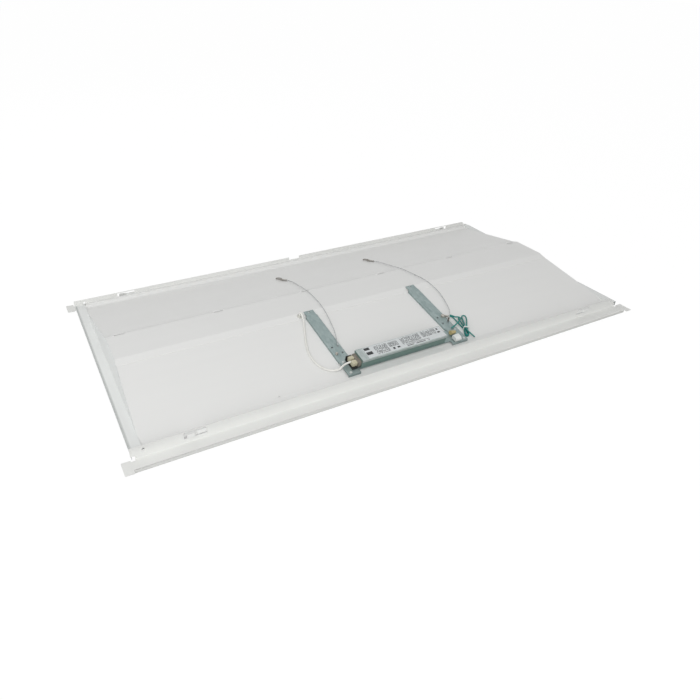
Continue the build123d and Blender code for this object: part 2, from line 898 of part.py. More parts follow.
def cord_tube(name, points, radii, diameter):
    """Sweep a round section along a route and compare its volume with section times length."""
    with BuildPart() as tube:
        with BuildLine() as path:
            FilletPolyline(*points, radius=radii)
        line = path.wires()[0]
        with BuildSketch(Plane(origin=line @ 0, z_dir=line % 0)):
            Circle(diameter / 2)
        sweep(path=line)
    share = tube.part.volume / (pi * diameter**2 / 4 * line.length)
    print(name, "length", round(line.length, 1), "volume share", round(share, 4))
    keep(name, tube)
    return line


def least_self_gap(name, line, diameter, step=1.0):
    """The least gap between stretches of one tube that aren't neighbours along it."""
    count = int(line.length / step)
    places = [line @ (index / count) for index in range(count + 1)]
    apart = int(4 * diameter / step)
    least = min(
        (places[first] - places[second]).length
        for first in range(count + 1)
        for second in range(first + apart, count + 1)
    )
    print(name, "least gap to itself", round(least - diameter, 2))


# LED lead: from the plug round to the grommet in the channel
lead_start = on_slope(plug_face - lead_groove_gap, driver_middle, plug_middle)
grommet_axis = grommet_plane.z_dir
lead_end = grommet_plane.origin - grommet_axis * grommet_under
lead_points = [
    tuple(lead_start),
    tuple(lead_start - slope.x_dir * lead_run),
    (-167.5, -226.8, 27.0),
    (-180.6, -220.8, 24.8),
    (-191.4, -210.3, 25.4),
    (-198.8, -195.7, 27.6),
    (-202.2, -178.7, 30.6),
    (-200.8, -158.7, 34.3),
    (-194.4, -136.2, 38.6),
    (-185.1, -112.8, 43.0),
    (-175.6, -91.0, 48.0),
    (-169.6, -76.5, 53.4),
    (-167.3, -67.0, 60.0),
    (-166.7, -61.0, 65.5),
    (-166.5, -54.0, 65.8),
    tuple(grommet_plane.origin + grommet_axis * grommet_run),
    tuple(lead_end),
]
cord_tube("led_lead", lead_points, cord_radii("led_lead", lead_points), lead_diameter)

# Tether ends at the arms: stops under the arm sheets
left_stop = (arm_left_x + arm_hole_half, arm_hole_rows[0])
right_stop = (arm_right_x + arm_hole_half, arm_hole_rows[1])
with BuildPart() as stops:
    for stop_x, stop_s in (left_stop, right_stop):
        with BuildSketch(slope.offset(arm_under)):
            with Locations((stop_x, -stop_s)):
                Circle(stop_diameter / 2)
        extrude(amount=-(arm_under - 2 * rest_gap))
keep("tether_stops", stops)

# Hooks, ferrules and tethers: hooks lie on the far wing, tethers cross the channel to the arms
far_slope = Plane(
    origin=(0, facet_half, wing_start_z),
    x_dir=(1, 0, 0),
    z_dir=(0, sin(slope_angle), cos(slope_angle)),
)


def on_far_slope(x, y, n):
    """A point on the far wing at a plan distance y from the middle, n above the sheet."""
    return far_slope.from_local_coords(Vector(x, (y - facet_half) / cos(slope_angle), n))


tether_routes = {
    "left": (
        left_stop,
        (-120.4, 173.3),
        60.0,
        [
            (-97.5, 118.0, 42.5),
            (-98.9, 94.1, 47.4),
            (-101.1, 66.4, 54.2),
            (-102.6, 34.6, 60.2),
            (-103.0, -3.3, 60.5),
            (-105.6, -38.5, 60.2),
            (-109.5, -72.1, 53.8),
            (-115.5, -103.9, 47.6),
            (-122.6, -130.7, 43.8),
            (-129.5, -147.6, 42.6),
            (-134.6, -158.1, 42.4),
        ],
    ),
    "right": (
        right_stop,
        (137.1, 172.7),
        63.0,
        [
            (159.7, 117.5, 42.5),
            (160.8, 94.5, 46.9),
            (161.2, 67.7, 53.8),
            (165.4, 35.1, 60.2),
            (173.0, -1.9, 60.5),
            (181.0, -37.0, 60.2),
            (185.5, -70.6, 53.8),
            (183.7, -99.3, 47.3),
            (176.4, -126.1, 42.3),
            (165.8, -149.4, 42.3),
            (153.5, -167.3, 44.3),
            (143.0, -178.2, 42.8),
        ],
    ),
}
for hand, (stop, hook_place, hook_heading, middle_points) in tether_routes.items():
    # Hook: a bent wire with a closed ring, lying on the far wing
    hook_origin = on_far_slope(*hook_place, ferrule_diameter / 2 + rest_gap)
    hook_plane = turned(far_slope, hook_origin, -hook_heading)
    bend = (hook_width - hook_wire) / 2
    ring_x = hook_length - bend - hook_wire / 2
    with BuildPart() as hook:
        with BuildLine(hook_plane) as hook_line:
            Line((ring_x - bend, 0), (bend, 0))
            ThreePointArc((bend, 0), (0, bend), (bend, 2 * bend))
            Line((bend, 2 * bend), (bend + hook_tip, 2 * bend))
        hook_path = hook_line.wires()[0]
        with BuildSketch(Plane(origin=hook_path @ 0, z_dir=hook_path % 0)):
            Circle(hook_wire / 2)
        sweep(path=hook_path)
        with Locations(hook_plane):
            with Locations((ring_x, 0, 0)):
                Torus(bend, hook_wire / 2)
    keep(f"{hand}_tether_hook", hook)

    # Ferrule: swaged on the tether's end, with the hook's ring through it
    ferrule_start = hook_plane.from_local_coords(Vector(ring_x + bend - ferrule_diameter / 2, 0, 0))
    with BuildPart() as ferrule:
        with BuildSketch(Plane(origin=ferrule_start, z_dir=hook_plane.x_dir)):
            Circle(ferrule_diameter / 2)
        extrude(amount=ferrule_length)
        with Locations(hook_plane):
            with Locations((ring_x, 0, 0)):
                Torus(bend, hook_wire / 2 + ferrule_gap, mode=Mode.SUBTRACT)
    keep(f"{hand}_tether_ferrule", ferrule)

    # Tether: thin steel cable from the ferrule to the stop under the arm
    ferrule_end = ferrule_start + hook_plane.x_dir * ferrule_length
    route = [
        tuple(ferrule_end),
        tuple(ferrule_end + hook_plane.x_dir * tether_run),
        *middle_points,
        tuple(on_slope(*stop, arm_rise + tether_rise)),
        tuple(on_slope(*stop, arm_under)),
    ]
    cord_tube(f"{hand}_tether", route, cord_radii(f"{hand}_tether", route), tether_diameter)

# Arm screw in the left arm's spare hole
screw_plane = turned(slope, on_slope(arm_left_x - arm_hole_half, arm_hole_rows[1], arm_rise), 0)
with BuildPart() as arm_screw:
    with BuildSketch(screw_plane):
        Circle(arm_screw_head / 2)
    extrude(amount=arm_screw_head_height, taper=driver_screw_taper)
    with BuildSketch(screw_plane):
        Circle(arm_hole_diameter / 2 - fit_gap)
    extrude(amount=-arm_sheet - ground_screw_point)
keep("arm_screw", arm_screw)

# Ground lug and screw on the right arm
ground_place = (arm_right_x + arm_hole_half, arm_hole_rows[0])
lug_plane = turned(slope, on_slope(*ground_place, arm_rise), lug_turn)
barrel_start = lug_radius + lug_thickness
barrel_height = lug_thickness / 2 + barrel_diameter / 2
with BuildPart() as lug:
    with BuildSketch(lug_plane):
        Circle(lug_radius)
        with Locations(((barrel_start + lug_strap) / 2, 0)):
            Rectangle(barrel_start + lug_strap, barrel_diameter)
        Circle(arm_hole_diameter / 2, mode=Mode.SUBTRACT)
    extrude(amount=lug_thickness)
    barrel_origin = lug_plane.from_local_coords(Vector(barrel_start, 0, barrel_height))
    with BuildSketch(Plane(origin=barrel_origin, z_dir=lug_plane.x_dir)):
        Circle(barrel_diameter / 2)
    extrude(amount=barrel_length)
keep("ground_lug", lug)

with BuildPart() as ground_screw:
    with BuildSketch(lug_plane.offset(lug_thickness)):
        RegularPolygon(ground_screw_head / 2, 6, major_radius=False)
    extrude(amount=ground_screw_head_height)
    chamfer(ground_screw.faces().sort_by(Axis.Z)[-1].edges(), ground_screw_edge)
    with BuildSketch(lug_plane.offset(lug_thickness)):
        Circle(arm_hole_diameter / 2 - fit_gap)
    extrude(amount=-lug_thickness - arm_sheet - ground_screw_point)
keep("ground_screw", ground_screw)

# Ground wire: from the lug into a hank of two loops, drawn in at the waist by a tie, with a loose tail
hank_plane = turned(slope, on_slope(hank_x, hank_s, 0), hank_turn)
hank_low = ground_diameter / 2 + tie_gap + tie_sheet + rest_gap
barrel_end = lug_plane.from_local_coords(Vector(barrel_start + barrel_length, 0, barrel_height))


def in_hank(across, along, layer):
    """A point of the hank: across and along it, on one of its layers."""
    return tuple(hank_plane.from_local_coords(Vector(across, along, hank_low + layer * hank_step)))


lead_in = [
    tuple(barrel_end),
    tuple(barrel_end + lug_plane.x_dir * ground_run),
    in_hank(-18.6, 28.6, 0.8),
    in_hank(-12.1, 18.5, 0.3),
    in_hank(-6.2, 9.2, 0.0),
]
loops = []
for layer, (top, half, lean) in enumerate(zip(hank_top, hank_top_half, hank_lean)):
    loops += [
        in_hank(-hank_waist_half, 0, layer),
        in_hank(-hank_bottom_half, -hank_bottom, layer),
        in_hank(hank_bottom_half, -hank_bottom, layer),
        in_hank(hank_waist_half, 0, layer),
        in_hank(lean + half, top, layer),
        in_hank(lean - half, top, layer),
        in_hank((lean - half - hank_waist_half) / 2, top / 2, layer + hank_climb),
    ]
last_layer = len(hank_top)
tail = [
    in_hank(-hank_waist_half, 0, last_layer),
    in_hank(0.5, -9.5, last_layer),
    in_hank(6.5, -19.0, last_layer),
    in_hank(14.5, -26.5, last_layer - 0.7),
]
ground_points = lead_in + loops + tail
ground_radii = cord_radii("ground_wire", ground_points)
ground_line = cord_tube("ground_wire", ground_points, ground_radii, ground_diameter)
least_self_gap("ground_wire", ground_line, ground_diameter)

# Ground pigtail: a second strand from the lug, bent back over the first, its free end on the arm
pigtail_start = barrel_end + lug_plane.x_dir * rest_gap + lug_plane.z_dir * pigtail_lift
pigtail_points = [
    tuple(pigtail_start),
    tuple(pigtail_start + lug_plane.x_dir * pigtail_run),
    tuple(on_slope(156.5, 125.0, 12.5)),
    tuple(on_slope(162.0, 129.5, 15.0)),
    tuple(on_slope(161.2, 136.5, 16.5)),
    tuple(on_slope(154.0, 142.0, 16.5)),
    tuple(on_slope(146.5, 145.2, 14.5)),
    tuple(on_slope(138.0, 147.2, 10.5)),
    tuple(on_slope(129.5, 148.3, arm_rise + ground_diameter / 2 + rest_gap)),
]
pigtail_radii = cord_radii("ground_pigtail", pigtail_points)
cord_tube("ground_pigtail", pigtail_points, pigtail_radii, ground_diameter)

# Tie: a flat band round the waist of the hank
tie_inner_half = hank_waist_half + hank_waist_round + ground_diameter / 2 + tie_gap
tie_low = hank_low - ground_diameter / 2 - tie_gap
tie_high = hank_low + last_layer * hank_step + ground_diameter / 2 + tie_gap
tie_middle = (tie_low + tie_high) / 2
tie_across = 2 * tie_inner_half
tie_up = tie_high - tie_low
tie_plane = Plane(
    origin=hank_plane.from_local_coords(Vector(0, -tie_width / 2, tie_middle)),
    x_dir=hank_plane.x_dir,
    z_dir=-hank_plane.y_dir,
)
with BuildPart() as tie:
    with BuildSketch(tie_plane):
        RectangleRounded(tie_across + 2 * tie_sheet, tie_up + 2 * tie_sheet, tie_round)
        RectangleRounded(tie_across, tie_up, tie_inner_round, mode=Mode.SUBTRACT)
    extrude(amount=-tie_width)
keep("wire_tie", tie)
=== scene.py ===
import math

import bpy
from mathutils import Matrix, Vector


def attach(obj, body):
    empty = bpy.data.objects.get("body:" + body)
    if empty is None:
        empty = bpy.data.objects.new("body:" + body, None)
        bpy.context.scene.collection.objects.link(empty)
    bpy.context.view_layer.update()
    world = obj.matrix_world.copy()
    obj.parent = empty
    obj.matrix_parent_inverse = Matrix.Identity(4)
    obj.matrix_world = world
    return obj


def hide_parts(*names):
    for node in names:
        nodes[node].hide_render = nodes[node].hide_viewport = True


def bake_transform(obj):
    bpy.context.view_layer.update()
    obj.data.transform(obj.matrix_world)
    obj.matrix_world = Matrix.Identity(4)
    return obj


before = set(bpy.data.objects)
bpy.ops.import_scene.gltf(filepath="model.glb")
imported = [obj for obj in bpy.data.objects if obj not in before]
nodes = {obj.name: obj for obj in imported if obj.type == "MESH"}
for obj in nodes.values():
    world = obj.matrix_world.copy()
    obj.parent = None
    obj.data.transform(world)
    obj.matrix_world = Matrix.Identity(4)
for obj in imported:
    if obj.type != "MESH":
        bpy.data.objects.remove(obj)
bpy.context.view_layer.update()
bpy.ops.object.select_all(action="DESELECT")


# Long rails: roll-formed white steel with a turned-down lip, a flat flange that lies on the
# ceiling grid and an upright web, cut back at its right corner. They are powder coated. The lips
# are painted grey as shade, and the near web is painted darker towards its top as shade.
pattern_low = 0.3
pattern_high = 0.7
coat_specular = 0.2
merge_distance = 0.000002
fold_angle = math.radians(30.0)


def start_material(name, colour, roughness, metallic=0.0):
    """A new material with one shader, its plain values set on the shader's own sockets."""
    material = bpy.data.materials.new(name)
    material.use_nodes = True
    shader = material.node_tree.nodes["Principled BSDF"]
    shader.inputs["Base Color"].default_value = (*colour, 1.0)
    shader.inputs["Roughness"].default_value = roughness
    shader.inputs["Metallic"].default_value = metallic
    return material, shader


def object_place(
    material, stretch=(1.0, 1.0, 1.0), turn=(0.0, 0.0, 0.0), shift=(0.0, 0.0, 0.0)
):
    """The piece's own coordinates in metres, stretched, turned or shifted for a pattern."""
    tree = material.node_tree
    coordinates = tree.nodes.new("ShaderNodeTexCoord")
    mapping = tree.nodes.new("ShaderNodeMapping")
    mapping.inputs["Scale"].default_value = stretch
    mapping.inputs["Rotation"].default_value = turn
    mapping.inputs["Location"].default_value = shift
    tree.links.new(coordinates.outputs["Object"], mapping.inputs["Vector"])
    return mapping.outputs["Vector"]


def noise(material, place, scale, detail=3.0):
    """A cloudy pattern with a number of cycles per metre."""
    texture = material.node_tree.nodes.new("ShaderNodeTexNoise")
    texture.inputs["Scale"].default_value = scale
    texture.inputs["Detail"].default_value = detail
    material.node_tree.links.new(place, texture.inputs["Vector"])
    return texture.outputs["Fac"]


def tones(material, shader, pattern, low, high, start=pattern_low, end=pattern_high):
    """Let a pattern run the base colour from one tone to another."""
    ramp = material.node_tree.nodes.new("ShaderNodeValToRGB")
    ramp.color_ramp.elements[0].position = start
    ramp.color_ramp.elements[0].color = (*low, 1.0)
    ramp.color_ramp.elements[1].position = end
    ramp.color_ramp.elements[1].color = (*high, 1.0)
    material.node_tree.links.new(pattern, ramp.inputs["Fac"])
    material.node_tree.links.new(ramp.outputs["Color"], shader.inputs["Base Color"])


def gloss_range(material, shader, pattern, low, high):
    """Let a pattern run the roughness between two values."""
    spread = material.node_tree.nodes.new("ShaderNodeMapRange")
    spread.inputs["From Min"].default_value = pattern_low
    spread.inputs["From Max"].default_value = pattern_high
    spread.inputs["To Min"].default_value = low
    spread.inputs["To Max"].default_value = high
    material.node_tree.links.new(pattern, spread.inputs["Value"])
    material.node_tree.links.new(spread.outputs["Result"], shader.inputs["Roughness"])


def relief(material, shader, pattern, strength, depth):
    """Raise the surface by a pattern, to a depth in metres."""
    bump = material.node_tree.nodes.new("ShaderNodeBump")
    bump.inputs["Strength"].default_value = strength
    bump.inputs["Distance"].default_value = depth
    material.node_tree.links.new(pattern, bump.inputs["Height"])
    material.node_tree.links.new(bump.outputs["Normal"], shader.inputs["Normal"])


def paint(material, *names):
    """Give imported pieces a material."""
    for name in names:
        nodes[name].data.materials.clear()
        nodes[name].data.materials.append(material)


def white_enamel(name, low, high):
    """White powder coat: faint smudges from handling, satin gloss and orange peel."""
    material, shader = start_material(name, high, roughness=0.42)
    shader.inputs["Specular IOR Level"].default_value = coat_specular
    along_rail = object_place(material, stretch=(1.0, 2.2, 2.2))
    smudges = noise(material, along_rail, scale=5.0, detail=4.0)
    tones(material, shader, smudges, low, high)
    wear = noise(material, object_place(material), scale=38.0)
    gloss_range(material, shader, wear, low=0.36, high=0.5)
    peel = noise(material, object_place(material), scale=720.0, detail=1.0)
    relief(material, shader, peel, strength=0.12, depth=0.0002)
    return material


def math_step(material, operation, first, second):
    """One sum in a material: each side is a number or another node's output."""
    node = material.node_tree.nodes.new("ShaderNodeMath")
    node.operation = operation
    for socket, value in zip(node.inputs, (first, second)):
        if isinstance(value, (int, float)):
            socket.default_value = value
        else:
            material.node_tree.links.new(value, socket)
    return node.outputs["Value"]


def axes(material, place):
    """The three separate coordinates of a place."""
    split = material.node_tree.nodes.new("ShaderNodeSeparateXYZ")
    material.node_tree.links.new(place, split.inputs["Vector"])
    return split.outputs["X"], split.outputs["Y"], split.outputs["Z"]


def overlay(material, shader, cover, colour):
    """Lay another colour over the base colour, where a mask is 1."""
    tree = material.node_tree
    mix = tree.nodes.new("ShaderNodeMix")
    mix.data_type = "RGBA"
    tree.links.new(shader.inputs["Base Color"].links[0].from_socket, mix.inputs["A"])
    mix.inputs["B"].default_value = (*colour, 1.0)
    tree.links.new(cover, mix.inputs["Factor"])
    tree.links.new(mix.outputs["Result"], shader.inputs["Base Color"])


rail_enamel = white_enamel("rail_enamel", (0.778, 0.783, 0.763), (0.813, 0.818, 0.798))
rail_shader = rail_enamel.node_tree.nodes["Principled BSDF"]
# The lip, below 6.4 mm, is painted grey as shade.
lip_top = 0.0064
lip_fade = 0.001
lip_shade_grey = (0.62, 0.625, 0.605)
_, rail_across, rail_height = axes(rail_enamel, object_place(rail_enamel))
lip_depth = math_step(rail_enamel, "SUBTRACT", lip_top, rail_height)
lip_shade = math_step(rail_enamel, "DIVIDE", lip_depth, lip_fade)
overlay(rail_enamel, rail_shader, lip_shade, lip_shade_grey)
# The near web is painted darker towards its top as shade; the far web is not.
web_shade_start = 0.012
web_shade_run = 0.0195
web_shade_grey = (0.7, 0.705, 0.688)
web_climb = math_step(rail_enamel, "SUBTRACT", rail_height, web_shade_start)
web_shade = math_step(rail_enamel, "DIVIDE", web_climb, web_shade_run)
near_side = math_step(rail_enamel, "LESS_THAN", rail_across, 0.0)
near_web_shade = math_step(rail_enamel, "MULTIPLY", web_shade, near_side)
overlay(rail_enamel, rail_shader, near_web_shade, web_shade_grey)
paint(rail_enamel, "near_rail", "far_rail")

web_y = 0.27
cutter_depth = 0.012
trim_start = (0.5578, 0.034)
trim_end = (0.5901, 0.0088)
trim_reach = 0.04


def cut_away(sheet, middle, size, turn):
    """Cut a block out of a sheet: its middle, its size and its turn about the cross axis."""
    bpy.ops.object.select_all(action="DESELECT")
    bpy.ops.mesh.primitive_cube_add(size=1.0, location=middle, rotation=(0.0, turn, 0.0))
    cutter = bpy.context.active_object
    cutter.scale = size
    cut = sheet.modifiers.new("cut", "BOOLEAN")
    cut.operation = "DIFFERENCE"
    cut.solver = "EXACT"
    cut.object = cutter
    bpy.context.view_layer.objects.active = sheet
    bpy.ops.object.modifier_apply(modifier=cut.name)
    bpy.data.objects.remove(cutter)


def sheet_copy(node_name):
    """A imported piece's mesh on a piece of its own, with its triangles merged."""
    sheet = bpy.data.objects.new(f"{node_name}_sheet", nodes[node_name].data.copy())
    bpy.context.scene.collection.objects.link(sheet)
    bpy.ops.object.select_all(action="DESELECT")
    sheet.select_set(True)
    bpy.context.view_layer.objects.active = sheet
    bpy.ops.object.mode_set(mode="EDIT")
    bpy.ops.mesh.select_all(action="SELECT")
    bpy.ops.mesh.remove_doubles(threshold=merge_distance)
    bpy.ops.object.mode_set(mode="OBJECT")
    return sheet


def hang_sheet(sheet, node_name):
    """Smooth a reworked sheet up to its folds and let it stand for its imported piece."""
    bpy.ops.object.select_all(action="DESELECT")
    sheet.select_set(True)
    bpy.ops.object.shade_smooth_by_angle(angle=fold_angle)
    bpy.ops.object.select_all(action="DESELECT")
    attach(sheet, "luminaire")
    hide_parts(node_name)


trim_run = Vector((trim_end[0] - trim_start[0], 0.0, trim_end[1] - trim_start[1]))
trim_lift = Vector((-trim_run.z, 0.0, trim_run.x)).normalized() * trim_reach / 2
trim_turn = -math.atan2(trim_run.z, trim_run.x)
trim_size = (trim_run.length, cutter_depth, trim_reach)
for hand, side in (("near", -1.0), ("far", 1.0)):
    rail = sheet_copy(f"{hand}_rail")
    trim_corner = Vector((trim_start[0], side * web_y, trim_start[1]))
    cut_away(rail, trim_corner + trim_run / 2 + trim_lift, trim_size, trim_turn)
    hang_sheet(rail, f"{hand}_rail")


# Grid clips: fingers lanced from the rail webs and joggled, which bend out over the grid.
# They carry the rail's own coat, in tones that run a little darker.
clip_enamel = white_enamel("clip_enamel", (0.7, 0.71, 0.69), (0.81, 0.815, 0.8))
paint(clip_enamel, "near_left_clip", "near_right_clip", "far_left_clip", "far_right_clip")


# Pan: two sloped reflector wings, turned up at the webs, and the raised channel that overlaps
# them, with small bridges lanced up along its far bend. The white coat is smoother than the
# rails', with long faint streaks from the coil line.
def pan_enamel(name, low, high):
    """Coil-coated white sheet: streaks along the length over a soft, even white."""
    material, shader = start_material(name, high, roughness=0.4)
    shader.inputs["Specular IOR Level"].default_value = coat_specular
    along_coil = object_place(material, stretch=(0.5, 9.0, 9.0))
    streaks = noise(material, along_coil, scale=6.0, detail=4.0)
    tones(material, shader, streaks, low, high)
    wear = noise(material, object_place(material), scale=22.0)
    gloss_range(material, shader, wear, low=0.34, high=0.46)
    peel = noise(material, object_place(material), scale=520.0, detail=1.0)
    relief(material, shader, peel, strength=0.08, depth=0.0002)
    return material


wing_enamel = pan_enamel("wing_enamel", (0.811, 0.813, 0.8), (0.817, 0.819, 0.806))
channel_enamel = pan_enamel("channel_enamel", (0.803, 0.805, 0.793), (0.809, 0.811, 0.799))
paint(wing_enamel, "near_wing", "far_wing")
paint(channel_enamel, "led_channel")

upstand_y = 0.2605
upstand_middle = 0.022
upstand_drop = 0.009
for hand in ("near", "far"):
    wing = sheet_copy(f"{hand}_wing")
    for elements in (wing.data.polygons, wing.data.edges):
        elements.foreach_set("select", [False] * len(elements))
    for vertex in wing.data.vertices:
        vertex.select = abs(vertex.co.y) > upstand_y and vertex.co.z > upstand_middle
    bpy.ops.object.mode_set(mode="EDIT")
    bpy.ops.mesh.select_mode(type="VERT")
    bpy.ops.transform.translate(value=(0.0, 0.0, -upstand_drop))
    bpy.ops.object.mode_set(mode="OBJECT")
    hang_sheet(wing, f"{hand}_wing")

lance_count = 6
lance_pitch = 0.213
lance_seat = Vector((0.0, 0.0431, 0.0558))
lance_size = (0.0246, 0.0019, 1.0)
lance_rise = 0.003
lance_ramp = 0.3
lance_sheet = 0.0007
lance_steps = 14
bpy.ops.mesh.primitive_grid_add(x_subdivisions=lance_steps, y_subdivisions=1, size=1.0)
lances = bpy.context.active_object
lances.name = "channel_lances"
lances.scale = lance_size
lances.location = lance_seat - Vector((lance_pitch * (lance_count - 1) / 2, 0.0, 0.0))
for vertex in lances.data.vertices:
    from_end = 1.0 - abs(vertex.co.x) * 2.0
    vertex.co.z = lance_rise * min(from_end / lance_ramp, 1.0)
bpy.ops.object.transform_apply(location=True, rotation=True, scale=True)
bpy.ops.object.modifier_add(type="SOLIDIFY")
lances.modifiers[-1].thickness = lance_sheet
bpy.ops.object.modifier_add(type="ARRAY")
lance_row = lances.modifiers[-1]
lance_row.count = lance_count
lance_row.use_relative_offset = False
lance_row.use_constant_offset = True
lance_row.constant_offset_displace = (lance_pitch, 0.0, 0.0)
bpy.ops.object.convert(target="MESH")
lances.data.materials.append(channel_enamel)
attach(lances, "luminaire")


# End plates: one sheet each, bent to a leaning gable, a flat lip and an end wall.
# They close the pan between the rails and have the rails' coat, with the walls painted grey as
# shade.
end_enamel = white_enamel("end_enamel", (0.785, 0.8, 0.788), (0.81, 0.825, 0.813))
end_shader = end_enamel.node_tree.nodes["Principled BSDF"]
# The outer end walls are painted grey as shade.
end_wall_start = 0.5835
end_wall_run = 0.0034
end_wall_shade_grey = (0.5, 0.52, 0.51)
end_along = axes(end_enamel, object_place(end_enamel))[0]
from_middle = math_step(end_enamel, "ABSOLUTE", end_along, 0.0)
past_lip = math_step(end_enamel, "SUBTRACT", from_middle, end_wall_start)
wall_painted_shade = math_step(end_enamel, "DIVIDE", past_lip, end_wall_run)
overlay(end_enamel, end_shader, wall_painted_shade, end_wall_shade_grey)
paint(end_enamel, "left_end_plate", "right_end_plate")


# Lens and its two rails: a frosted acrylic trough under the channel, on bent white strips.
# The frost is a fine matt grain on the outside of the sheet.
def mottled(name, colour, low, high, roughness, scale, metallic=0.0, stretch=(1.0, 1.0, 1.0)):
    """A material whose colour wanders between two tones, with a number of cycles per metre."""
    material, shader = start_material(name, colour, roughness, metallic)
    clouds = noise(material, object_place(material, stretch), scale)
    tones(material, shader, clouds, low, high)
    return material, shader


lens_scatter = 0.35
lens_scatter_reach = (0.004, 0.004, 0.004)
lens_frost, lens_shader = mottled(
    "lens_frost", (0.9, 0.91, 0.9), (0.88, 0.89, 0.88), (0.92, 0.93, 0.92),
    roughness=0.5, scale=3.0,
)
lens_shader.inputs["Subsurface Weight"].default_value = lens_scatter
lens_shader.inputs["Subsurface Radius"].default_value = lens_scatter_reach
frost_grain = noise(lens_frost, object_place(lens_frost), scale=1600.0, detail=1.0)
relief(lens_frost, lens_shader, frost_grain, strength=0.25, depth=0.0001)
paint(lens_frost, "lens")
paint(wing_enamel, "near_lens_rail", "far_lens_rail")


# LED boards under the channel: white-masked metal boards on grey thermal tape, with rows of
# small yellow LEDs soldered along them.
board_mask, _ = mottled(
    "board_mask", (0.82, 0.82, 0.8), (0.78, 0.78, 0.76), (0.84, 0.84, 0.82),
    roughness=0.35, scale=60.0,
)
paint(board_mask, "left_led_board", "right_led_board")
tape_grey, _ = mottled(
    "tape_grey", (0.4, 0.41, 0.43), (0.34, 0.35, 0.37), (0.44, 0.45, 0.47),
    roughness=0.75, scale=90.0,
)
paint(tape_grey, "left_thermal_tape", "right_thermal_tape")
led_phosphor, _ = mottled(
    "led_phosphor", (0.9, 0.72, 0.16), (0.86, 0.66, 0.12), (0.93, 0.78, 0.22),
    roughness=0.3, scale=400.0,
)
paint(led_phosphor, "left_leds", "right_leds")


# Grommet: a pale grey rubber bush pressed into the channel's near slope, where the lead goes in.
# Its flange has the matt bloom of moulded rubber.
grommet_rubber, grommet_shader = start_material("grommet_rubber", (0.6, 0.6, 0.57), roughness=0.7)
bloom = noise(grommet_rubber, object_place(grommet_rubber), scale=300.0)
tones(grommet_rubber, grommet_shader, bloom, (0.5, 0.5, 0.47), (0.66, 0.66, 0.62))
relief(grommet_rubber, grommet_shader, bloom, strength=0.2, depth=0.0002)
paint(grommet_rubber, "lead_grommet")


# Driver frame: two galvanised steel arms riveted to a channel under the driver.
# The zinc shows a dull spangle, streaks along the bend lines and scuffs.
spangle_scale = 150.0
spangle_share = 0.35
scuff_share = 0.65


def zinc_coat(name, low, high):
    """Galvanised sheet: spangle cells under a grey-green oxide, brushed along the arm."""
    material, shader = start_material(name, high, roughness=0.5, metallic=0.55)
    tree = material.node_tree
    spangle = tree.nodes.new("ShaderNodeTexVoronoi")
    spangle.inputs["Scale"].default_value = spangle_scale
    tree.links.new(object_place(material, stretch=(1.0, 0.7, 1.0)), spangle.inputs["Vector"])
    cells = tree.nodes.new("ShaderNodeSeparateColor")
    tree.links.new(spangle.outputs["Color"], cells.inputs["Color"])
    along_arm = object_place(material, stretch=(2.0, 0.4, 2.0))
    scuffs = noise(material, along_arm, scale=90.0, detail=4.0)
    worn_cells = math_step(
        material,
        "ADD",
        math_step(material, "MULTIPLY", cells.outputs["Red"], spangle_share),
        math_step(material, "MULTIPLY", scuffs, scuff_share),
    )
    tones(material, shader, worn_cells, low, high, start=0.2, end=0.75)
    gloss_range(material, shader, cells.outputs["Green"], low=0.42, high=0.56)
    relief(material, shader, scuffs, strength=0.06, depth=0.0004)
    return material


arm_zinc = zinc_coat("arm_zinc", (0.235, 0.3, 0.297), (0.33, 0.4, 0.396))
paint(arm_zinc, "left_arm", "right_arm", "driver_base")
rivet_metal, _ = mottled(
    "rivet_metal", (0.5, 0.53, 0.52), (0.4, 0.43, 0.42), (0.58, 0.61, 0.6),
    roughness=0.42, scale=420.0, metallic=0.8,
)
paint(rivet_metal, "frame_rivets", "tether_stops")


# Driver: a grey-green steel tray with a paler lid, folded over its long sides.
# The lid is ribbed at the lead's end and carries a white sticker with plain ruled fields.
case_paint, case_shader = start_material(
    "case_paint", (0.155, 0.235, 0.21), roughness=0.42, metallic=0.25
)
along_case = object_place(case_paint, stretch=(0.4, 3.0, 3.0))
case_grain = noise(case_paint, along_case, scale=120.0, detail=3.0)
tones(case_paint, case_shader, case_grain, (0.135, 0.215, 0.19), (0.185, 0.275, 0.25))
gloss_range(case_paint, case_shader, case_grain, low=0.36, high=0.5)
paint(case_paint, "driver_case")
lid_zinc = zinc_coat("lid_zinc", (0.38, 0.43, 0.42), (0.5, 0.55, 0.54))
paint(lid_zinc, "driver_cover")

sticker, sticker_shader = start_material("sticker", (0.64, 0.67, 0.675), roughness=0.5)
paper = noise(sticker, object_place(sticker), scale=260.0, detail=2.0)
tones(sticker, sticker_shader, paper, (0.62, 0.65, 0.655), (0.67, 0.695, 0.7))
wing_slope = 0.1863
slope_start = 0.047814
row_shift = 7.31
sticker_place = object_place(
    sticker, turn=(-math.atan(wing_slope), 0.0, 0.0), shift=(0.0, slope_start, 0.0)
)
sticker_x, sticker_y, _ = axes(sticker, sticker_place)


def sticker_field(x_low, x_high, s_low, s_high):
    """A mask that is 1 in one rectangle of the sticker: along it, and down the slope."""
    past_left = math_step(sticker, "GREATER_THAN", sticker_x, x_low)
    before_right = math_step(sticker, "LESS_THAN", sticker_x, x_high)
    past_foot = math_step(sticker, "GREATER_THAN", sticker_y, -s_high)
    before_top = math_step(sticker, "LESS_THAN", sticker_y, -s_low)
    along = math_step(sticker, "MULTIPLY", past_left, before_right)
    across = math_step(sticker, "MULTIPLY", past_foot, before_top)
    return math_step(sticker, "MULTIPLY", along, across)


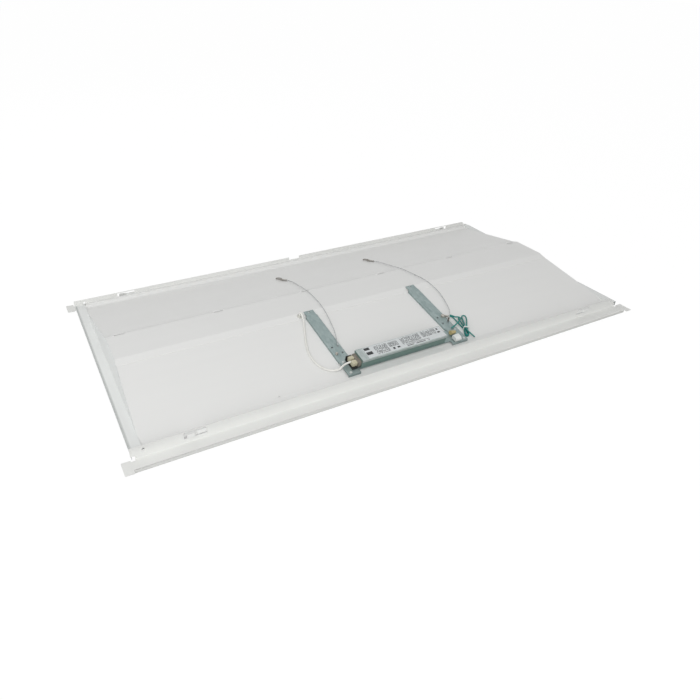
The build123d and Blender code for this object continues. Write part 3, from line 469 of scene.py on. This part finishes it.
def sticker_dashes(pitch, fill, dash, blank):
    """Ruled rows of broken dashes: their pitch and length in metres, the share of the pitch that
    is ink, and the noise level below which a row stays blank."""
    rows = math_step(sticker, "DIVIDE", sticker_y, pitch)
    row = math_step(sticker, "FLOOR", rows, 0.0)
    ink = math_step(sticker, "LESS_THAN", math_step(sticker, "FRACT", rows, 0.0), fill)
    tree = sticker.node_tree
    gather = tree.nodes.new("ShaderNodeCombineXYZ")
    tree.links.new(math_step(sticker, "DIVIDE", sticker_x, dash), gather.inputs["X"])
    tree.links.new(math_step(sticker, "MULTIPLY", row, row_shift), gather.inputs["Y"])
    breaks = noise(sticker, gather.outputs["Vector"], scale=1.0, detail=0.0)
    return math_step(sticker, "MULTIPLY", ink, math_step(sticker, "GREATER_THAN", breaks, blank))


ink_black = (0.02, 0.022, 0.024)
ink_grey = (0.04, 0.045, 0.048)
fine_dashes = sticker_dashes(pitch=0.0024, fill=0.55, dash=0.0022, blank=0.42)
for field in (
    (-0.083, -0.052, 0.1512, 0.1765),
    (-0.049, -0.026, 0.153, 0.1655),
    (-0.018, 0.03, 0.1505, 0.1695),
    (0.035, 0.072, 0.1505, 0.1665),
):
    fine_rows = math_step(sticker, "MULTIPLY", fine_dashes, sticker_field(*field))
    overlay(sticker, sticker_shader, fine_rows, ink_grey)
bold_dashes = sticker_dashes(pitch=0.0075, fill=0.7, dash=0.006, blank=0.36)
bold_field = sticker_field(-0.012, 0.045, 0.1715, 0.1765)
bold_rows = math_step(sticker, "MULTIPLY", bold_dashes, bold_field)
overlay(sticker, sticker_shader, bold_rows, ink_black)
for field in (
    (-0.105, -0.0925, 0.1505, 0.1575),
    (-0.105, -0.091, 0.1625, 0.1705),
    (0.0755, 0.0795, 0.152, 0.157),
    (0.0735, 0.08, 0.1615, 0.1655),
    (-0.0445, -0.0395, 0.169, 0.174),
    (-0.034, -0.0275, 0.1695, 0.1735),
):
    overlay(sticker, sticker_shader, sticker_field(*field), ink_black)
paint(sticker, "driver_label")


# Inside the driver: a green circuit board on four posts, with its taped transformer and two
# sleeved capacitors soldered on. The closed lid hides them.
circuit_green, _ = mottled(
    "circuit_green", (0.03, 0.2, 0.08), (0.02, 0.15, 0.06), (0.05, 0.25, 0.1),
    roughness=0.35, scale=140.0,
)
paint(circuit_green, "driver_circuit")
coil_tape, _ = mottled(
    "coil_tape", (0.6, 0.45, 0.06), (0.52, 0.38, 0.04), (0.66, 0.5, 0.1),
    roughness=0.3, scale=80.0, stretch=(1.0, 1.0, 8.0),
)
paint(coil_tape, "driver_transformer")
sleeve_black, _ = mottled(
    "sleeve_black", (0.02, 0.02, 0.03), (0.015, 0.015, 0.025), (0.04, 0.04, 0.05),
    roughness=0.3, scale=120.0,
)
paint(sleeve_black, "driver_capacitors")


# Terminals, plug and shroud: moulded plastics at the driver's ends. The header is grey-brown,
# the plug's two blocks are cream and the shroud that shields them is black. The shroud is partly
# a dark plastic part and partly painted shade for the gaps at the driver's end.
def moulded(name, low, high, roughness):
    """Moulded plastic: a faint flow in the colour and a fine spark-eroded grain."""
    material, shader = mottled(name, high, low, high, roughness, scale=140.0)
    grain = noise(material, object_place(material), scale=2000.0, detail=1.0)
    relief(material, shader, grain, strength=0.15, depth=0.0001)
    return material


header_plastic = moulded("header_plastic", (0.16, 0.14, 0.115), (0.26, 0.235, 0.2), roughness=0.5)
paint(header_plastic, "output_terminal", "input_terminal")
plug_cream = moulded("plug_cream", (0.47, 0.44, 0.31), (0.62, 0.58, 0.43), roughness=0.42)
paint(plug_cream, "led_plug")
# Near-black: partly dark plastic, partly painted shade for the gaps at the driver's end.
shroud_black_and_shade = moulded(
    "shroud_black_and_shade", (0.006, 0.006, 0.006), (0.016, 0.017, 0.017), roughness=0.5
)
paint(shroud_black_and_shade, "output_shroud")


# Screws: zinc-plated, one spare in the left arm, two up through the base into the driver and
# one that holds the ground lug to the right arm.
screw_zinc, _ = mottled(
    "screw_zinc", (0.45, 0.43, 0.4), (0.32, 0.3, 0.27), (0.52, 0.5, 0.46),
    roughness=0.35, scale=380.0, metallic=0.9,
)
paint(screw_zinc, "arm_screw", "driver_screws", "ground_screw", "ground_lug")


# Wire connector and wire nut: a white push-in connector and a brass-yellow twist-on nut,
# lying on the right arm's foot.
connector_white = moulded("connector_white", (0.72, 0.74, 0.72), (0.8, 0.82, 0.8), roughness=0.35)
paint(connector_white, "wire_connector", "wire_tie")
nut_yellow = moulded("nut_yellow", (0.42, 0.34, 0.14), (0.55, 0.46, 0.24), roughness=0.4)
paint(nut_yellow, "wire_nut")


# LED lead: an off-white jacketed cable from the plug, out over the arm and round across the wing
# to the grommet. Its jacket is smooth with a dull sheen.
cord_steps = 10
cord_order = 3
cord_roundness = 4


def cord_spline(name, points):
    """A smooth open line through a cord's route, with the route as its control points."""
    curve = bpy.data.curves.new(name, "CURVE")
    curve.dimensions = "3D"
    curve.resolution_u = cord_steps
    spline = curve.splines.new("NURBS")
    spline.points.add(len(points) - 1)
    for control, point in zip(spline.points, points):
        control.co = (*point, 1.0)
    spline.order_u = cord_order
    spline.use_endpoint_u = True
    cord = bpy.data.objects.new(name, curve)
    bpy.context.scene.collection.objects.link(cord)
    return cord


def cord_tube(name, points, diameter, material):
    """A round mesh tube along a cord's smooth line, and the points that the line runs through."""
    cord = cord_spline(name, points)
    bpy.context.view_layer.update()
    smoothed = cord.evaluated_get(bpy.context.evaluated_depsgraph_get())
    line = bpy.data.meshes.new_from_object(smoothed)
    path = [tuple(vertex.co) for vertex in line.vertices]
    bpy.data.meshes.remove(line)
    cord.data.bevel_depth = diameter / 2
    cord.data.bevel_resolution = cord_roundness
    cord.data.use_fill_caps = True
    bpy.ops.object.select_all(action="DESELECT")
    cord.select_set(True)
    bpy.context.view_layer.objects.active = cord
    bpy.ops.object.convert(target="MESH")
    tube = bpy.context.view_layer.objects.active
    tube.data.materials.clear()
    tube.data.materials.append(material)
    bpy.ops.object.shade_smooth()
    bpy.ops.object.select_all(action="DESELECT")
    return tube, path


lead_jacket, _ = mottled(
    "lead_jacket", (0.79, 0.785, 0.75), (0.76, 0.755, 0.71), (0.82, 0.815, 0.78),
    roughness=0.45, scale=110.0,
)
lead_diameter = 0.004
lead_route = [
    (-0.1306, -0.22134, 0.03417),
    (-0.1526, -0.22134, 0.03417),
    (-0.1675, -0.2268, 0.027),
    (-0.1806, -0.2208, 0.0248),
    (-0.1914, -0.2103, 0.0254),
    (-0.1988, -0.1957, 0.0276),
    (-0.2022, -0.1787, 0.0306),
    (-0.2008, -0.1587, 0.0343),
    (-0.1944, -0.1362, 0.0386),
    (-0.1851, -0.1128, 0.043),
    (-0.1756, -0.091, 0.048),
    (-0.1696, -0.0765, 0.0534),
    (-0.1673, -0.067, 0.06),
    (-0.1667, -0.061, 0.0655),
    (-0.1665, -0.054, 0.0658),
    (-0.1665, -0.05163, 0.05848),
    (-0.1665, -0.04941, 0.05205),
]
lead, lead_path = cord_tube("led_lead_cable", lead_route, lead_diameter, lead_jacket)
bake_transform(lead)
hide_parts("led_lead")


# Tethers: thin stranded steel cables from the snap hooks on the far wing, over the channel and
# down to stops under the arms. They keep the frame hanging while the light is wired, and the
# right one has a dark crimped toggle where it goes into its arm.
cable_steel, cable_shader = start_material(
    "cable_steel", (0.42, 0.43, 0.43), roughness=0.4, metallic=0.7
)
along_cable = object_place(cable_steel, stretch=(1.0, 0.35, 1.0))
strands = noise(cable_steel, along_cable, scale=900.0, detail=1.0)
tones(cable_steel, cable_shader, strands, (0.3, 0.31, 0.31), (0.55, 0.56, 0.56))
relief(cable_steel, cable_shader, strands, strength=0.4, depth=0.0002)
hook_steel, _ = mottled(
    "hook_steel", (0.22, 0.2, 0.18), (0.15, 0.135, 0.12), (0.3, 0.28, 0.25),
    roughness=0.4, scale=260.0, metallic=0.7,
)
paint(hook_steel, "left_tether_hook", "right_tether_hook")
ferrule_metal, _ = mottled(
    "ferrule_metal", (0.35, 0.34, 0.32), (0.25, 0.24, 0.22), (0.42, 0.41, 0.39),
    roughness=0.45, scale=320.0, metallic=0.7,
)
paint(ferrule_metal, "left_tether_ferrule", "right_tether_ferrule")

tether_diameter = 0.0016
left_tether_length = 0.3221
right_tether_length = 0.3541
left_tether_route = [
    (-0.10295, 0.14404, 0.03677),
    (-0.09845, 0.13638, 0.0382),
    (-0.0975, 0.118, 0.0425),
    (-0.0989, 0.0941, 0.0474),
    (-0.1011, 0.0664, 0.0542),
    (-0.1026, 0.0346, 0.0602),
    (-0.103, -0.0033, 0.0605),
    (-0.1056, -0.0385, 0.0602),
    (-0.1095, -0.0721, 0.0538),
    (-0.1155, -0.1039, 0.0476),
    (-0.1226, -0.1307, 0.0438),
    (-0.1295, -0.1476, 0.0426),
    (-0.1346, -0.1581, 0.0424),
    (-0.1355, -0.16478, 0.03911),
    (-0.1355, -0.16409, 0.03538),
]
right_tether_route = [
    (0.15294, 0.14259, 0.03704),
    (0.15703, 0.13471, 0.03851),
    (0.1597, 0.1175, 0.0425),
    (0.1608, 0.0945, 0.0469),
    (0.1612, 0.0677, 0.0538),
    (0.1654, 0.0351, 0.0602),
    (0.173, -0.0019, 0.0605),
    (0.181, -0.037, 0.0602),
    (0.1855, -0.0706, 0.0538),
    (0.1837, -0.0993, 0.0473),
    (0.1764, -0.1261, 0.0423),
    (0.1658, -0.1494, 0.0423),
    (0.1535, -0.1673, 0.0443),
    (0.143, -0.1782, 0.0428),
    (0.1365, -0.18445, 0.03545),
    (0.1365, -0.18375, 0.03172),
]
for hand, route, length in (
    ("left", left_tether_route, left_tether_length),
    ("right", right_tether_route, right_tether_length),
):
    tether, tether_path = cord_tube(f"{hand}_tether_cable", route, tether_diameter, cable_steel)
    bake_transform(tether)
    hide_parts(f"{hand}_tether")

toggle_sides = 16
toggle_radius = 0.0017
toggle_length = 0.0085
toggle_rings = (-0.0021, -0.001, 0.0002, 0.0014, 0.0026)
toggle_crimps = (-0.001, 0.0014)
toggle_pinch = 0.78
toggle_reach = 0.0001
toggle_bar = 0.0024
toggle_bar_top = -0.0022
toggle_bar_facing = 0.8
toggle_bar_taper = (0.4, 0.9, 0.8)
toggle_round = 0.0002
toggle_round_steps = 2
toggle_edge_angle = math.radians(35.0)
toggle_foot = Vector((0.1367, -0.1841, 0.0345))
toggle_lean = Vector((0.5, 0.47, 0.727))
bpy.ops.mesh.primitive_cylinder_add(
    vertices=toggle_sides, radius=toggle_radius, depth=toggle_length
)
toggle = bpy.context.active_object
toggle.name = "right_tether_toggle"
bpy.ops.object.mode_set(mode="EDIT")
for height in toggle_rings:
    bpy.ops.mesh.select_all(action="SELECT")
    bpy.ops.mesh.bisect(plane_co=(0.0, 0.0, height), plane_no=(0.0, 0.0, 1.0))
bpy.ops.object.mode_set(mode="OBJECT")
for vertex in toggle.data.vertices:
    for height in toggle_crimps:
        if abs(vertex.co.z - height) < toggle_reach:
            vertex.co.x *= toggle_pinch
            vertex.co.y *= toggle_pinch
for turn in (1.0, -1.0):
    bpy.ops.object.mode_set(mode="EDIT")
    bpy.ops.mesh.select_all(action="DESELECT")
    bpy.ops.object.mode_set(mode="OBJECT")
    for face in toggle.data.polygons:
        faces_out = face.normal.x * turn > toggle_bar_facing
        face.select = face.center.z < toggle_bar_top and faces_out
    bpy.ops.object.mode_set(mode="EDIT")
    bpy.ops.mesh.select_mode(type="FACE")
    bar_end = (turn * toggle_bar, 0.0, 0.0)
    bpy.ops.mesh.extrude_region_move(TRANSFORM_OT_translate={"value": bar_end})
    bpy.ops.transform.resize(value=toggle_bar_taper)
    bpy.ops.object.mode_set(mode="OBJECT")
rounding = toggle.modifiers.new("rounding", "BEVEL")
rounding.width = toggle_round
rounding.segments = toggle_round_steps
rounding.limit_method = "ANGLE"
bpy.ops.object.modifier_apply(modifier=rounding.name)
toggle.rotation_euler = toggle_lean.to_track_quat("Z", "X").to_euler()
toggle.location = toggle_foot + toggle_lean.normalized() * toggle_length / 2
bpy.ops.object.transform_apply(location=True, rotation=True, scale=True)
bpy.ops.object.shade_smooth_by_angle(angle=toggle_edge_angle)
toggle_brown, _ = mottled(
    "toggle_brown", (0.06, 0.045, 0.038), (0.035, 0.026, 0.022), (0.09, 0.068, 0.056),
    roughness=0.5, scale=420.0,
)
toggle.data.materials.append(toggle_brown)
bpy.ops.object.select_all(action="DESELECT")
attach(toggle, "driver_frame")


# Ground wire: green insulated wire crimped in the lug, folded into a hank that a white tie
# draws in at its waist, with a loose tail for the installer.
wire_green, _ = mottled(
    "wire_green", (0.0, 0.19, 0.165), (0.0, 0.15, 0.135), (0.0, 0.23, 0.2),
    roughness=0.35, scale=120.0,
)
ground_diameter = 0.003
hank_origin = Vector((0.16, -0.21629, 0.02077))
hank_across = Vector((0.88295, -0.46153, -0.08598))
hank_along = Vector((0.46947, 0.86801, 0.16171))
hank_up = Vector((0.0, -0.18315, 0.98309))
hank_low = 0.0032
hank_step = 0.0037
hank_top = (0.041, 0.045)
hank_top_half = (0.006, 0.0065)
hank_lean = (-0.0045, 0.004)
hank_bottom = 0.02
hank_bottom_half = 0.0046
hank_waist = 0.002
hank_climb = 0.85


def in_hank(across, along, layer):
    """A point of the hank: across and along it, on one of its layers."""
    height = hank_low + layer * hank_step
    return tuple(hank_origin + hank_across * across + hank_along * along + hank_up * height)


ground_route = [
    (0.14897, -0.17184, 0.0377),
    (0.15503, -0.17528, 0.03706),
    in_hank(-0.0186, 0.0286, 0.8),
    in_hank(-0.0121, 0.0185, 0.3),
    in_hank(-0.0062, 0.0092, 0.0),
]
for layer, (top, half, lean) in enumerate(zip(hank_top, hank_top_half, hank_lean)):
    ground_route += [
        in_hank(-hank_waist, 0.0, layer),
        in_hank(-hank_bottom_half, -hank_bottom, layer),
        in_hank(hank_bottom_half, -hank_bottom, layer),
        in_hank(hank_waist, 0.0, layer),
        in_hank(lean + half, top, layer),
        in_hank(lean - half, top, layer),
        in_hank((lean - half - hank_waist) / 2, top / 2, layer + hank_climb),
    ]
last_layer = len(hank_top)
ground_route += [
    in_hank(-hank_waist, 0.0, last_layer),
    in_hank(0.0005, -0.0095, last_layer),
    in_hank(0.0065, -0.019, last_layer),
    in_hank(0.0145, -0.0265, last_layer - 0.7),
]
ground_wire, ground_path = cord_tube(
    "ground_wire_hank", ground_route, ground_diameter, wire_green
)
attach(ground_wire, "driver_frame")
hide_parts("ground_wire")

pigtail_route = [
    (0.14932, -0.17263, 0.04081),
    (0.15365, -0.17508, 0.04035),
    (0.1565, -0.18318, 0.03965),
    (0.162, -0.18806, 0.04129),
    (0.1612, -0.19521, 0.04148),
    (0.154, -0.20062, 0.04047),
    (0.1465, -0.2034, 0.03792),
    (0.138, -0.20463, 0.03362),
    (0.1295, -0.20524, 0.03087),
]
pigtail, pigtail_path = cord_tube(
    "ground_pigtail_wire", pigtail_route, ground_diameter, wire_green
)
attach(pigtail, "driver_frame")
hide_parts("ground_pigtail")


# Studio: a white sweep under the light, a soft key from the near left, three fills and a dim sky.
# The sweep shows white to the camera, with a painted shadow under the light, and keeps the
# light's own shadow.
sweep_size = 30.0
sweep_drop = 0.0005
sweep_strength = 1.03
bpy.ops.mesh.primitive_plane_add(size=sweep_size, location=(0.0, 0.0, -sweep_drop))
sweep = bpy.context.active_object
sweep.name = "studio_sweep"
sweep_paper, sweep_shader = start_material("sweep_paper", (0.82, 0.82, 0.82), roughness=0.9)
sweep_tree = sweep_paper.node_tree
sweep_glow = sweep_tree.nodes.new("ShaderNodeEmission")
sweep_glow.inputs["Strength"].default_value = sweep_strength


def white_rays(owner):
    """A mask for the rays that see the white background: straight, mirrored or through glass."""
    rays = owner.node_tree.nodes.new("ShaderNodeLightPath")
    straight = rays.outputs["Is Camera Ray"]
    mirrored = rays.outputs["Is Glossy Ray"]
    seen = math_step(owner, "MAXIMUM", straight, mirrored)
    return math_step(owner, "MAXIMUM", seen, rays.outputs["Is Transmission Ray"])


glow_share = 0.94
# Under the light the sweep's glow is cut back: painted shadow.
shade_share = 0.5
shade_half_length = 0.56
shade_half_width = 0.266
sweep_x, sweep_y, _ = axes(sweep_paper, object_place(sweep_paper))
out_along = math_step(sweep_paper, "ABSOLUTE", sweep_x, 0.0)
out_across = math_step(sweep_paper, "ABSOLUTE", sweep_y, 0.0)
shade_along = math_step(sweep_paper, "LESS_THAN", out_along, shade_half_length)
shade_across = math_step(sweep_paper, "LESS_THAN", out_across, shade_half_width)
covered = math_step(sweep_paper, "MULTIPLY", shade_along, shade_across)
painted_shadow = math_step(sweep_paper, "MULTIPLY", covered, shade_share)
open_floor = math_step(sweep_paper, "SUBTRACT", glow_share, painted_shadow)
sweep_mix = sweep_tree.nodes.new("ShaderNodeMixShader")
glow_mask = math_step(sweep_paper, "MULTIPLY", white_rays(sweep_paper), open_floor)
sweep_tree.links.new(glow_mask, sweep_mix.inputs["Fac"])
sweep_tree.links.new(sweep_shader.outputs["BSDF"], sweep_mix.inputs[1])
sweep_tree.links.new(sweep_glow.outputs["Emission"], sweep_mix.inputs[2])
sweep_output = sweep_tree.nodes["Material Output"]
sweep_tree.links.new(sweep_mix.outputs["Shader"], sweep_output.inputs["Surface"])
sweep.data.materials.append(sweep_paper)

scene = bpy.context.scene
scene.view_settings.view_transform = "Standard"
sky_colour = (1.0, 1.0, 1.0, 1.0)
sky_strength = 0.432
sky = bpy.data.worlds.new("studio_sky")
scene.world = sky
sky.use_nodes = True
sky_tree = sky.node_tree
sky_dim = sky_tree.nodes["Background"]
sky_dim.inputs["Color"].default_value = sky_colour
sky_dim.inputs["Strength"].default_value = sky_strength
sky_white = sky_tree.nodes.new("ShaderNodeBackground")
sky_white.inputs["Color"].default_value = sky_colour
sky_mix = sky_tree.nodes.new("ShaderNodeMixShader")
sky_tree.links.new(white_rays(sky), sky_mix.inputs["Fac"])
sky_tree.links.new(sky_dim.outputs["Background"], sky_mix.inputs[1])
sky_tree.links.new(sky_white.outputs["Background"], sky_mix.inputs[2])
sky_tree.links.new(sky_mix.outputs["Shader"], sky_tree.nodes["World Output"].inputs["Surface"])


def soft_light(name, place, size, power):
    """A square soft box at a place, turned to face the origin."""
    bpy.ops.object.light_add(type="AREA", location=place)
    light = bpy.context.active_object
    light.name = name
    light.data.shape = "SQUARE"
    light.data.size = size
    light.data.energy = power
    light.rotation_euler = (-Vector(place)).to_track_quat("-Z", "Y").to_euler()


soft_light("key_box", (-1.3, -1.7, 2.0), size=1.8, power=32.5)
soft_light("low_box", (-0.8, -2.6, 0.8), size=1.4, power=12.0)
soft_light("left_box", (-2.6, 0.2, 0.8), size=1.4, power=3.0)
soft_light("back_box", (-0.3, 2.0, 1.85), size=2.0, power=7.5)


# Camera: where the photographer stood, near the left end and above the near rail. Its lens is
# shifted, because the centre that was solved from the photo lies off the photo's middle.
camera_azimuth = math.radians(-28.0766)
camera_elevation = math.radians(31.4776)
camera_roll = math.radians(1.1576)
camera_distance = 1.355631
camera_target = Vector((-0.128763, -0.006212, 0.0065))
focal_pixels = 590.23
centre_pixels = (-44.746, -28.442)
picture_pixels = 700.0
sensor_width = 36.0
nearest = 0.01
furthest = 100.0
camera_back = Vector((
    math.sin(camera_azimuth) * math.cos(camera_elevation),
    -math.cos(camera_azimuth) * math.cos(camera_elevation),
    math.sin(camera_elevation),
))
level_right = Vector((math.cos(camera_azimuth), math.sin(camera_azimuth), 0.0))
level_up = camera_back.cross(level_right)
camera_right = level_right * math.cos(camera_roll) + level_up * math.sin(camera_roll)
camera_up = camera_back.cross(camera_right)
bpy.ops.object.camera_add()
camera = bpy.context.active_object
camera.data.sensor_width = sensor_width
camera.data.lens = focal_pixels / picture_pixels * sensor_width
camera.data.shift_x = -centre_pixels[0] / picture_pixels
camera.data.shift_y = centre_pixels[1] / picture_pixels
camera.data.clip_start = nearest
camera.data.clip_end = furthest
camera_turn = Matrix((camera_right, camera_up, camera_back)).transposed().to_4x4()
camera_place = camera_target + camera_back * camera_distance
camera.matrix_world = Matrix.Translation(camera_place) @ camera_turn
scene.camera = camera
